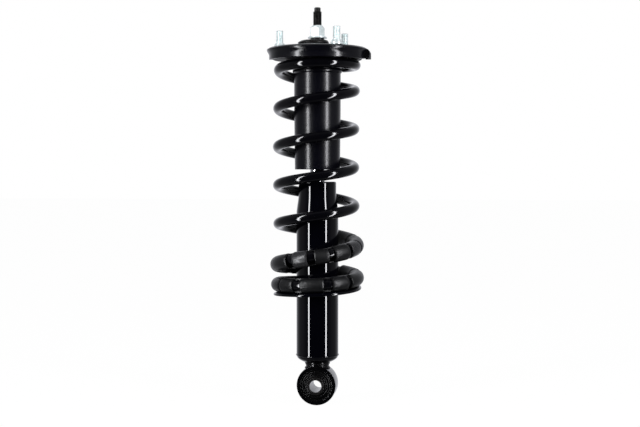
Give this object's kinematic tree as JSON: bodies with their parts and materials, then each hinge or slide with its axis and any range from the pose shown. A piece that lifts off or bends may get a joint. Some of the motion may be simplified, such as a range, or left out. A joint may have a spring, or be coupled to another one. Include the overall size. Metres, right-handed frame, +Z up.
{
  "type": "coil-over strut assembly",
  "caption": "Suspension strut: twin-tube damper inside a coil spring, with a studded top mount above and a rubber-bushed bolt eye below.",
  "frame": {"origin": "centre of the lower eye's bolt bore", "axes": "+Z up along the piston rod, +Y along the lower eye's bolt bore, +X towards the locating tab on the top mount"},
  "size_m": [0.1412, 0.138, 0.539],
  "materials": {
    "black_gloss": "gloss",
    "black_satin": "satin",
    "spring_coat": "gloss",
    "black_rubber": "matte",
    "hose_rubber": "matte",
    "bump_foam": "matte",
    "chromed_rod": "polished",
    "zinc_steel": "satin",
    "plain_steel": "satin",
    "black_oxide": "satin",
    "bush_bronze": "satin",
    "band_plastic": "matte"
  },
  "bodies": {
    "damper_body": {"reservoir_tube": "black_gloss", "base_cap": "black_gloss", "lower_eye": "black_gloss", "eye_weld": "black_gloss", "bush_rubber": "black_rubber", "lower_spring_seat": "black_gloss", "seat_weld": "black_gloss", "pressure_tube": "plain_steel", "base_valve_body": "plain_steel", "base_valve_discs": "plain_steel", "base_valve_bolt": "plain_steel", "rod_guide": "plain_steel", "guide_bush": "bush_bronze", "rod_seal": "black_rubber", "coil_spring": "spring_coat", "lower_hose": "hose_rubber", "upper_hose": "hose_rubber"},
    "rod_and_mount": {"piston_rod": "chromed_rod", "piston": "plain_steel", "piston_band": "band_plastic", "upper_shims": "plain_steel", "lower_shims": "plain_steel", "piston_nut": "plain_steel", "rebound_stop": "plain_steel", "rebound_cushion": "black_rubber", "bump_stop": "bump_foam", "dust_tube": "black_satin", "upper_seat_cup": "black_satin", "spring_insulator": "black_rubber", "mount_plate": "black_satin", "locating_tab": "black_satin", "mount_studs": "zinc_steel", "lower_retainer": "plain_steel", "lower_cushion": "black_rubber", "centre_sleeve": "plain_steel", "upper_cushion": "black_rubber", "upper_retainer": "black_oxide", "clamp_collar": "black_oxide", "top_nut": "zinc_steel"},
    "bush_inner": {"bush_sleeve": "plain_steel"}
  },
  "joints": [
    {"name": "strut_travel", "type": "slide", "parent": "damper_body", "child": "rod_and_mount", "axis": [0, 0, 1], "range_m": [-0.12, 0], "stiffness_N_per_m": 60000, "deforming": ["coil_spring", "lower_hose", "upper_hose", "bump_stop"]},
    {"name": "lower_bush_twist", "type": "hinge", "parent": "damper_body", "child": "bush_inner", "pos_m": [0, 0, 0], "axis": [0, 1, 0], "range_deg": [-20, 20], "stiffness_Nm_per_rad": 80}
  ]
}
